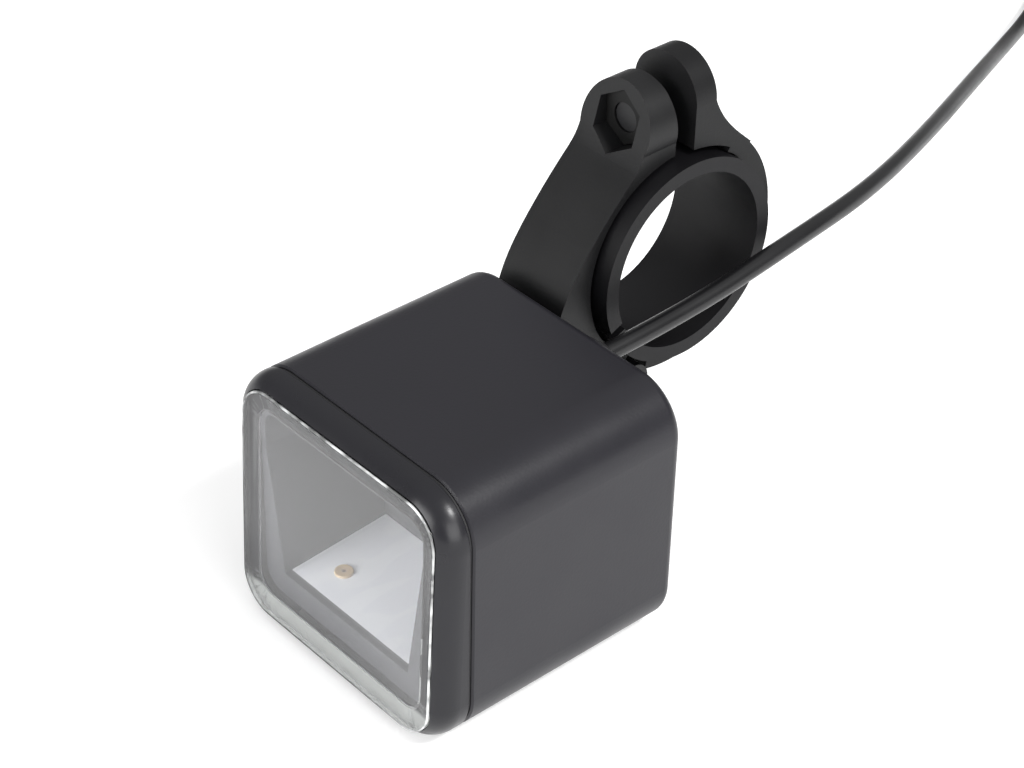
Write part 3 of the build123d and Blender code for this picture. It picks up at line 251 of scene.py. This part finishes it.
def brushed_finish(name, colour, roughness, stretch=(1.0, 14.0, 1.0)):
    """Turned or brushed metal: long fine scratches."""
    material, tree, shader = new_material(name)
    lines = noise_field(tree, 2200.0, 2.0, stretch)
    shade = blend_colours(tree, spread(tree, lines, 0, 1), [c * 0.8 for c in colour], colour)
    tree.links.new(shade, shader.inputs["Base Color"])
    tree.links.new(spread(tree, lines, roughness, roughness + 0.15), shader.inputs["Roughness"])
    shader.inputs["Metallic"].default_value = 1.0
    bump(tree, shader, lines, 0.000004, 0.5)
    return material


def clear_finish(name):
    """Clear moulded plastic that lets lamp light through to what is behind it."""
    material, tree, shader = new_material(name)
    output = next(n for n in tree.nodes if n.type == "OUTPUT_MATERIAL")
    shader.inputs["Base Color"].default_value = (0.97, 0.975, 0.98, 1.0)
    shader.inputs["Transmission Weight"].default_value = 1.0
    shader.inputs["IOR"].default_value = 1.49
    shader.inputs["Specular IOR Level"].default_value = 0.14
    haze = noise_field(tree, 160.0)
    tree.links.new(spread(tree, haze, 0.0, 0.02), shader.inputs["Roughness"])
    see_through = tree.nodes.new("ShaderNodeBsdfTransparent")
    see_through.inputs["Color"].default_value = (0.93, 0.935, 0.94, 1.0)
    rays = tree.nodes.new("ShaderNodeLightPath")
    mix = tree.nodes.new("ShaderNodeMixShader")
    tree.links.new(rays.outputs["Is Shadow Ray"], mix.inputs["Fac"])
    tree.links.new(shader.outputs["BSDF"], mix.inputs[1])
    tree.links.new(see_through.outputs["BSDF"], mix.inputs[2])
    tree.links.new(mix.outputs["Shader"], output.inputs["Surface"])
    return material


def board_finish(name, mask, track):
    """Circuit board: solder mask with faint tracks and a fine gloss."""
    material, tree, shader = new_material(name)
    tracks = noise_field(tree, 420.0, 0.0, (1.0, 0.25, 1.0))
    edge = spread(tree, tracks, 0, 1, 0.495, 0.505)
    tree.links.new(blend_colours(tree, edge, mask, track), shader.inputs["Base Color"])
    gloss = noise_field(tree, 260.0)
    tree.links.new(spread(tree, gloss, 0.32, 0.48), shader.inputs["Roughness"])
    bump(tree, shader, edge, 0.00001, 0.4)
    return material


def emitter_finish(name, centre):
    """Light-emitting disc: a dark pit in a tan ring, by distance from the disc's centre."""
    material, tree, shader = new_material(name)
    place = tree.nodes.new("ShaderNodeTexCoord")
    move = tree.nodes.new("ShaderNodeVectorMath")
    move.operation = "SUBTRACT"
    move.inputs[1].default_value = centre
    flat = tree.nodes.new("ShaderNodeVectorMath")
    flat.operation = "MULTIPLY"
    flat.inputs[1].default_value = (1.0, 1.0, 0.0)
    length = tree.nodes.new("ShaderNodeVectorMath")
    length.operation = "LENGTH"
    tree.links.new(place.outputs["Object"], move.inputs[0])
    tree.links.new(move.outputs["Vector"], flat.inputs[0])
    tree.links.new(flat.outputs["Vector"], length.inputs[0])
    ramp = tree.nodes.new("ShaderNodeValToRGB")
    scaled = spread(tree, length.outputs["Value"], 0.0, 1.0, 0.0, EMITTER_RADIUS)
    ramp.color_ramp.elements[0].position = 0.0
    ramp.color_ramp.elements[0].color = (0.10, 0.06, 0.03, 1.0)
    ramp.color_ramp.elements[1].position = 1.0
    ramp.color_ramp.elements[1].color = (0.52, 0.39, 0.24, 1.0)
    stops = ((0.16, (0.13, 0.08, 0.05, 1)), (0.3, (0.42, 0.29, 0.17, 1)), (0.75, (0.46, 0.32, 0.16, 1)))
    for position, colour in stops:
        step = ramp.color_ramp.elements.new(position)
        step.color = colour
    tree.links.new(scaled, ramp.inputs["Fac"])
    tree.links.new(ramp.outputs["Color"], shader.inputs["Base Color"])
    shader.inputs["Roughness"].default_value = 0.35
    return material


def border_painted_light_finish(name, dark, light, level, blur):
    """Frame behind the lens flange: dark on three sides, with painted light along the foot that stands for
    the floor shining in through the lens.
    """
    material, tree, shader = new_material(name)
    place = tree.nodes.new("ShaderNodeTexCoord")
    split = tree.nodes.new("ShaderNodeSeparateXYZ")
    tree.links.new(place.outputs["Object"], split.inputs["Vector"])
    # Painted light: the frame is lighter below the given height, where the floor's white would shine in
    # through the lens
    foot = spread(tree, split.outputs["Z"], 1.0, 0.0, level - blur, level + blur)
    tree.links.new(blend_colours(tree, foot, dark, light), shader.inputs["Base Color"])
    gloss = noise_field(tree, 300.0)
    tree.links.new(spread(tree, gloss, 0.4, 0.55), shader.inputs["Roughness"])
    return material


def give(node, material):
    """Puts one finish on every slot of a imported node."""
    mesh = NODES[node].data
    mesh.materials.clear()
    mesh.materials.append(material)
    for face in mesh.polygons:
        if face.material_index:
            face.material_index = 0


def coil_points(start, heading):
    """Points round the coil: half circles wound in, one that climbs, half circles wound out, then a quarter.

    Each half circle is start + across * r * (1 - cos t) + along * r * sin t for t from 0 to pi."""
    across = np.array([-heading[1], heading[0], 0.0])
    along = np.array(heading, float)
    here = np.array(start, float)
    wound_in = [(radius, 0.0) for radius in COIL_RADII_IN]
    wound_out = [(radius, 0.0) for radius in COIL_RADII_OUT]
    radii = wound_in + [(COIL_RADIUS_CLIMB, COIL_LAYER)] + wound_out
    turns = np.linspace(0, np.pi, 9)[1:]
    runs = []
    for radius, climb in radii:
        reach = np.hypot(radius, climb / 2)
        lift = np.outer(1 - np.cos(turns), across * radius + np.array([0, 0, climb / 2]))
        runs.append(here + lift + np.outer(np.sin(turns), along * reach))
        here = here + across * 2 * radius + np.array([0, 0, climb])
        along = -along
        across = -across
    quarter = turns[:4]
    leave = np.outer(1 - np.cos(quarter), across * COIL_RADIUS_LAST)
    runs.append(here + leave + np.outer(np.sin(quarter), along * COIL_RADIUS_LAST))
    return np.concatenate(runs), across, -along


def cable_route():
    """Control points of the whole cable: from the boot to the table, round the coil and on to the plug."""
    last, before = np.array(CABLE_CORNERS[-1]), np.array(CABLE_CORNERS[-2])
    heading = (last - before) / np.linalg.norm(last - before)
    start = last + heading * CABLE_DIAMETER
    turns, along, across = coil_points(start, heading)
    end = turns[-1] + along * CABLE_DIAMETER
    first = end + along * TAIL_RUN
    away = along * np.cos(TAIL_BEND) - across * np.sin(TAIL_BEND)
    second = first + away * TAIL_RUN + np.array([0, 0, PLUG_AXIS_Z - end[2]])
    points = np.vstack([CABLE_START, CABLE_CORNERS, start, turns, end, first, second])
    return points


class HEADLIGHT_OT_camera(Operator):
    """Sets the camera at the photograph's viewing angle."""

    bl_idname = "headlight.camera"
    bl_label = "Camera"

    def execute(self, context):
        data = bpy.data.cameras.new("photo_camera")
        data.lens = context.scene.headlight_sizes.lens_focal
        data.sensor_width = 36.0
        data.clip_start, data.clip_end = 0.01, 20.0
        camera = bpy.data.objects.new("photo_camera", data)
        turn = Matrix((CAMERA_RIGHT, CAMERA_UP, CAMERA_BACK)).transposed().to_quaternion()
        camera.rotation_mode = "QUATERNION"
        camera.rotation_quaternion = turn.normalized()
        camera.location = CAMERA_PLACE
        context.scene.collection.objects.link(camera)
        context.scene.camera = camera
        return {"FINISHED"}


class HEADLIGHT_OT_cable(Operator):
    bl_idname = "headlight.cable"
    bl_label = "Cable"

    def execute(self, context):
        sizes = context.scene.headlight_sizes
        points = cable_route()
        curve = bpy.data.curves.new("cable_jacket", "CURVE")
        curve.dimensions = "3D"
        spline = curve.splines.new("NURBS")
        spline.points.add(len(points) - 1)
        spline.points.foreach_set("co", np.column_stack([points, np.ones(len(points))]).ravel())
        spline.order_u = 3
        spline.use_endpoint_u = True
        spline.resolution_u = 8
        curve.bevel_depth = sizes.cable_diameter / 2
        curve.bevel_resolution = 6
        curve.use_fill_caps = True
        jacket = bpy.data.objects.new("cable_jacket", curve)
        context.scene.collection.objects.link(jacket)
        colour = context.scene.headlight_colours.cable
        curve.materials.append(surface_finish("cable_jacket", colour, 0.34, 2500.0, 0.000006, spec=0.4))
        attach(jacket, "lamp")
        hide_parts("cable", "cable_coil", "cable_tail")
        return {"FINISHED"}


class HEADLIGHT_OT_shell(Operator):
    """Paints the housing, bezel, seals and back cover."""

    bl_idname = "headlight.shell"
    bl_label = "Housing and bezel"

    def execute(self, context):
        colours = context.scene.headlight_colours
        even = {"grain": 2600.0, "uneven": 0.05}
        paint = surface_finish("housing_paint", colours.housing, 0.38, relief=0.00002, spec=0.33, **even)
        plastic = surface_finish("bezel_plastic", colours.bezel, 0.30, relief=0.00001, spec=0.32, **even)
        give("housing", paint)
        give("front_bezel", plastic)
        give("back_cover", surface_finish("cover_plastic", colours.bezel, 0.5, 2600.0, 0.00002))
        rubber = surface_finish("seal_rubber", SEAL_COLOUR, 0.7, 2200.0, 0.00002)
        for node in ("seam_seal", "back_gasket"):
            give(node, rubber)
        return {"FINISHED"}


class HEADLIGHT_OT_optics(Operator):
    """Finishes the lens, reflector, light board and emitter."""

    bl_idname = "headlight.optics"
    bl_label = "Lens and optics"

    def execute(self, context):
        colours = context.scene.headlight_colours
        give("front_lens", clear_finish("lens_clear"))
        satin = surface_finish(
            "reflector_satin", colours.reflector, 0.5, 900.0, 0.0000005, spec=0.28, uneven=0.03
        )
        give("reflector", satin)
        give("heat_spreader", surface_finish("spreader_satin", SPREADER_COLOUR, 0.55, 1500.0, 0.000004))
        give("thermal_pad", surface_finish("thermal_pad", PAD_COLOUR, 0.8, 900.0, 0.00003))
        give("light_board", board_finish("light_board_white", BOARD_MASK, BOARD_TRACK))
        low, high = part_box("light_emitter")
        radius = (high[1] - low[1]) / 2
        give("light_emitter", emitter_finish("light_emitter", (high[0] - radius, low[1] + radius, 0.0)))
        # The frame behind the lens gets painted floor light along its foot
        border = border_painted_light_finish("lens_border_painted_floor_light", BORDER_DARK, BORDER_PAINTED_FLOOR_LIGHT, BORDER_FOOT, BORDER_BLUR)
        give("lens_gasket", border)
        return {"FINISHED"}


def rounded_loop(width, height, corner, depth, middle):
    """Points of an upright rounded rectangle: each corner's centre plus corner * (cos t, sin t).

    The angle t runs over that corner's quarter of a turn."""
    turns = np.radians(np.arange(4)[:, None] * 90 + np.linspace(0, 90, 13)).ravel()
    side_x = np.repeat([1, -1, -1, 1], 13) * (width / 2 - corner)
    side_z = np.repeat([1, 1, -1, -1], 13) * (height / 2 - corner)
    x = side_x + corner * np.cos(turns)
    z = middle + side_z + corner * np.sin(turns)
    return np.column_stack([x, np.full_like(x, depth), z])


def bead_surface(points, normal, section, sides=10):
    """Round bead along a flat closed loop: point + section * (cos r * outward + sin r * normal).

    Outward is the loop's direction turned a quarter about its normal."""
    along = np.roll(points, -1, axis=0) - np.roll(points, 1, axis=0)
    along /= np.linalg.norm(along, axis=1, keepdims=True)
    outward = np.cross(along, normal)
    roll = np.linspace(0, 2 * np.pi, sides, endpoint=False)[None, :, None]
    places = points[:, None] + section * (np.cos(roll) * outward[:, None] + np.sin(roll) * np.asarray(normal))
    row, column = np.meshgrid(np.arange(len(points)), np.arange(sides), indexing="ij")
    next_row, next_column = (row + 1) % len(points), (column + 1) % sides
    here, ahead = row * sides, next_row * sides
    quads = [here + column, ahead + column, ahead + next_column, here + next_column]
    return places.reshape(-1, 3), np.stack(quads, axis=-1).reshape(-1, 4)


def add_surface(context, name, parts, material):
    """Puts one or more surfaces into one smooth mesh and links it."""
    starts = np.cumsum([0] + [len(places) for places, quads in parts])
    mesh = bpy.data.meshes.new(name)
    places = np.concatenate([places for places, quads in parts])
    quads = np.concatenate([part[1] + start for part, start in zip(parts, starts)])
    mesh.from_pydata(places.tolist(), [], quads.tolist())
    mesh.polygons.foreach_set("use_smooth", np.ones(len(quads), bool))
    mesh.materials.append(material)
    piece = bpy.data.objects.new(name, mesh)
    context.scene.collection.objects.link(piece)
    return piece


def edge_painted_glint_finish(name):
    """Polished edge of clear plastic, coloured with painted highlights: bright painted glints towards the top
    and right, dull below.
    """
    material, tree, shader = new_material(name)
    place = tree.nodes.new("ShaderNodeTexCoord")
    split = tree.nodes.new("ShaderNodeSeparateXYZ")
    tree.links.new(place.outputs["Object"], split.inputs["Vector"])
    lean = tree.nodes.new("ShaderNodeMath")
    lean.operation = "MULTIPLY_ADD"
    lean.inputs[1].default_value = 0.8
    tree.links.new(split.outputs["Z"], lean.inputs[2])
    tree.links.new(split.outputs["X"], lean.inputs[0])
    # Painted highlight: the colour is brighter towards the top and right and broken up by noise into glints
    high = spread(tree, lean.outputs[0], 0.0, 1.0, 0.004, 0.020)
    painted_glint_streaks = spread(tree, noise_field(tree, 380.0, 2.0), 0.15, 1.0, 0.38, 0.62)
    both = tree.nodes.new("ShaderNodeMath")
    both.operation = "MULTIPLY"
    tree.links.new(high, both.inputs[0])
    tree.links.new(painted_glint_streaks, both.inputs[1])
    shade = blend_colours(tree, both.outputs[0], (0.030, 0.031, 0.031), (0.62, 0.63, 0.63))
    tree.links.new(shade, shader.inputs["Base Color"])
    shader.inputs["Roughness"].default_value = 0.12
    return material


class HEADLIGHT_OT_lens_edge(Operator):
    """Lays the polished bead, coloured with painted glints, round the front edge of the lens."""

    bl_idname = "headlight.lens_edge"
    bl_label = "Lens edge"

    def execute(self, context):
        low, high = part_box("front_lens")
        width, height = high[0] - low[0] - 2 * LENS_BEAD, high[2] - low[2] - 2 * LENS_BEAD
        middle = (low[2] + high[2]) / 2
        loop = rounded_loop(width, height, LENS_CORNER - LENS_BEAD, low[1] + LENS_BEAD, middle)
        loop[:, 1] += (loop[:, 2] - low[2]) * LENS_LEAN
        square_to = np.array([0.0, -1.0, LENS_LEAN]) / np.hypot(1.0, LENS_LEAN)
        surface = bead_surface(loop, square_to, LENS_BEAD)
        bead = add_surface(context, "lens_edge", [surface], edge_painted_glint_finish("lens_edge"))
        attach(bead, "lamp")
        return {"FINISHED"}


class HEADLIGHT_OT_electronics(Operator):
    """Finishes the driver board, its parts and the lead wires."""

    bl_idname = "headlight.electronics"
    bl_label = "Electronics"

    def execute(self, context):
        give("driver_board", board_finish("driver_board_green", DRIVER_MASK, DRIVER_TRACK))
        give("driver_inductor", surface_finish("ferrite", FERRITE_COLOUR, 0.55, 1800.0, 0.00002))
        give("driver_chip", surface_finish("chip_plastic", CHIP_COLOUR, 0.45, 2500.0, 0.00001))
        give("driver_capacitor", brushed_finish("capacitor_can", CAN_COLOUR, 0.25))
        red = surface_finish("wire_red", RED_WIRE, 0.4, 2500.0, 0.00001)
        black = surface_finish("wire_black", BLACK_WIRE, 0.4, 2500.0, 0.00001)
        for node in ("light_lead_red", "supply_lead_red"):
            give(node, red)
        for node in ("light_lead_black", "supply_lead_black"):
            give(node, black)
        return {"FINISHED"}


class HEADLIGHT_OT_clamp(Operator):
    """Finishes the bracket, jaw and bar sleeve."""

    bl_idname = "headlight.clamp"
    bl_label = "Clamp"

    def execute(self, context):
        colour = context.scene.headlight_colours.clamp
        plastic = surface_finish("clamp_plastic", colour, 0.45, 2400.0, 0.00002, spec=0.3)
        give("bracket", plastic)
        give("clamp_jaw", surface_finish("jaw_plastic", colour, 0.45, 2400.0, 0.00002, spec=0.2))
        give("bar_sleeve", surface_finish("sleeve_plastic", SLEEVE_COLOUR, 0.45, 2400.0, 0.00001, spec=0.2))
        return {"FINISHED"}


class HEADLIGHT_OT_fasteners(Operator):
    """Finishes the screws, nuts, washers and pin."""

    bl_idname = "headlight.fasteners"
    bl_label = "Fasteners"

    def execute(self, context):
        black = surface_finish("black_steel", BLACK_STEEL, 0.38, 2000.0, 0.000008, spec=0.3)
        steel = brushed_finish("bright_steel", BRIGHT_STEEL, 0.25)
        for node in ("cover_screws", "tilt_screw", "clamp_screw"):
            give(node, black)
        # The clamp nut is black steel, darkened further to paint the shade in its hex pocket
        give("clamp_nut", surface_finish("nut_dark", NUT_BLACK_AND_PAINTED_SHADE, 0.5, 2000.0, 0.000008, spec=0.2))
        for node in ("board_screws", "driver_screws", "tilt_nut", "hinge_pin"):
            give(node, steel)
        give("tilt_washers", surface_finish("washer_nylon", NYLON_COLOUR, 0.5, 1200.0, 0.00001))
        return {"FINISHED"}


class HEADLIGHT_OT_cable_ends(Operator):
    """Finishes the boot, the plug and the coil's tie, and adds the grip ribs round the plug."""

    bl_idname = "headlight.cable_ends"
    bl_label = "Boot and plug"

    def execute(self, context):
        rubber = surface_finish("cable_rubber", RUBBER_COLOUR, 0.5, 2200.0, 0.00002)
        for node in ("cable_boot", "plug_body", "coil_tie"):
            give(node, rubber)
        route = cable_route()
        line = (route[-1] - route[-2]) * (1, 1, 0)
        line /= np.linalg.norm(line)
        turn = np.linspace(0, 2 * np.pi, 48, endpoint=False)[:, None]
        upward = np.array([0.0, 0.0, 1.0])
        circle = GRIP_RADIUS * (np.cos(turn) * np.cross(line, upward) + np.sin(turn) * upward)
        centre = np.array([*route[-1][:2], PLUG_AXIS_Z])
        loops = [centre + line * station + circle for station in GRIP_STATIONS]
        rings = [bead_surface(loop, line, GRIP_SECTION) for loop in loops]
        ribs = add_surface(context, "plug_ribs", rings, rubber)
        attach(ribs, "lamp")
        give("plug_ring", surface_finish("sealing_ring", RING_COLOUR, 0.45, 2000.0, 0.00001))
        give("plug_pins", brushed_finish("gilt_pin", GILT_COLOUR, 0.18))
        return {"FINISHED"}


def soft_lamp(scene, name, place, target, size, power):
    """Square soft light at a place, turned towards a target."""
    data = bpy.data.lights.new(name, "AREA")
    data.shape = "RECTANGLE"
    data.size, data.size_y = size
    data.energy = power
    lamp = bpy.data.objects.new(name, data)
    lamp.location = place
    lamp.rotation_mode = "QUATERNION"
    lamp.rotation_quaternion = (Vector(target) - Vector(place)).to_track_quat("-Z", "Y")
    scene.collection.objects.link(lamp)
    return lamp


def floor_finish():
    """Pale floor: matt white that keeps shadows, and shows white to the camera and in reflections."""
    material, tree, shader = new_material("pale_floor")
    output = next(n for n in tree.nodes if n.type == "OUTPUT_MATERIAL")
    tree.nodes.remove(shader)
    matt = tree.nodes.new("ShaderNodeBsdfDiffuse")
    matt.inputs["Color"].default_value = (0.84, 0.84, 0.84, 1.0)
    glow = tree.nodes.new("ShaderNodeEmission")
    rays = tree.nodes.new("ShaderNodeLightPath")
    camera_or_gloss = tree.nodes.new("ShaderNodeMath")
    camera_or_gloss.operation = "MAXIMUM"
    seen = tree.nodes.new("ShaderNodeMath")
    seen.operation = "MAXIMUM"
    level = tree.nodes.new("ShaderNodeMath")
    level.operation = "MULTIPLY"
    level.inputs[1].default_value = FLOOR_GLOW
    add = tree.nodes.new("ShaderNodeAddShader")
    tree.links.new(rays.outputs["Is Camera Ray"], camera_or_gloss.inputs[0])
    tree.links.new(rays.outputs["Is Glossy Ray"], camera_or_gloss.inputs[1])
    tree.links.new(camera_or_gloss.outputs[0], seen.inputs[0])
    tree.links.new(rays.outputs["Is Transmission Ray"], seen.inputs[1])
    tree.links.new(seen.outputs[0], level.inputs[0])
    tree.links.new(level.outputs[0], glow.inputs["Strength"])
    tree.links.new(matt.outputs["BSDF"], add.inputs[0])
    tree.links.new(glow.outputs["Emission"], add.inputs[1])
    tree.links.new(add.outputs["Shader"], output.inputs["Surface"])
    return material


def studio_world(level):
    """Surroundings: white to the camera, brighter overhead than near the horizon for everything else."""
    world = bpy.data.worlds.new("studio")
    world.use_nodes = True
    tree = world.node_tree
    background = tree.nodes["Background"]
    background.inputs["Color"].default_value = (1.0, 1.0, 1.0, 1.0)
    place = tree.nodes.new("ShaderNodeTexCoord")
    split = tree.nodes.new("ShaderNodeSeparateXYZ")
    tree.links.new(place.outputs["Generated"], split.inputs["Vector"])
    height = spread(tree, split.outputs["Z"], level * HORIZON_SHARE, level * OVERHEAD_SHARE, 0.0, 0.9)
    rays = tree.nodes.new("ShaderNodeLightPath")
    white = tree.nodes.new("ShaderNodeMath")
    white.operation = "MAXIMUM"
    tree.links.new(rays.outputs["Is Camera Ray"], white.inputs[0])
    tree.links.new(height, white.inputs[1])
    tree.links.new(white.outputs[0], background.inputs["Strength"])
    return world


class HEADLIGHT_OT_stage(Operator):
    """Lays the pale floor and sets the soft light."""

    bl_idname = "headlight.stage"
    bl_label = "Stage"

    def execute(self, context):
        scene = context.scene
        sizes = scene.headlight_sizes
        half = sizes.floor_size / 2
        mesh = bpy.data.meshes.new("floor")
        corners = [(-half, -half), (half, -half), (half, half), (-half, half)]
        mesh.from_pydata([(x, y, -FLOOR_DROP) for x, y in corners], [], [(0, 1, 2, 3)])
        floor = bpy.data.objects.new("floor", mesh)
        scene.collection.objects.link(floor)
        mesh.materials.append(floor_finish())
        scene.world = studio_world(sizes.world_level)
        for name, place, size, share in LAMPS:
            soft_lamp(scene, name, place, LAMP_TARGET, size, sizes.lamp_power * share)
        scene.view_settings.view_transform = "Standard"
        return {"FINISHED"}


OPERATORS = (
    HEADLIGHT_OT_camera,
    HEADLIGHT_OT_shell,
    HEADLIGHT_OT_optics,
    HEADLIGHT_OT_lens_edge,
    HEADLIGHT_OT_electronics,
    HEADLIGHT_OT_clamp,
    HEADLIGHT_OT_fasteners,
    HEADLIGHT_OT_cable_ends,
    HEADLIGHT_OT_cable,
    HEADLIGHT_OT_stage,
)


class HEADLIGHT_PT_panel(Panel):
    """Lists the headlight's pieces, sizes and colours."""

    bl_idname = "HEADLIGHT_PT_panel"
    bl_label = "Headlight"
    bl_space_type = "VIEW_3D"
    bl_region_type = "UI"
    bl_category = "Headlight"

    def draw(self, context):
        for group in (context.scene.headlight_sizes, context.scene.headlight_colours):
            for name in group.__annotations__:
                self.layout.prop(group, name)
        for operator in OPERATORS:
            self.layout.operator(operator.bl_idname)


CLASSES = (HeadlightSizes, HeadlightColours, *OPERATORS, HEADLIGHT_PT_panel)


def register():
    """Registers the classes and hangs the sizes and colours on the scene."""
    for cls in CLASSES:
        bpy.utils.register_class(cls)
    bpy.types.Scene.headlight_sizes = PointerProperty(type=HeadlightSizes)
    bpy.types.Scene.headlight_colours = PointerProperty(type=HeadlightColours)


def unregister():
    """Takes back what register did."""
    del bpy.types.Scene.headlight_colours
    del bpy.types.Scene.headlight_sizes
    for cls in reversed(CLASSES):
        bpy.utils.unregister_class(cls)


def main():
    """Makes every piece in order."""
    register()
    for operator in OPERATORS:
        group, name = operator.bl_idname.split(".")
        getattr(getattr(bpy.ops, group), name)()


if __name__ == "__main__":
    main()
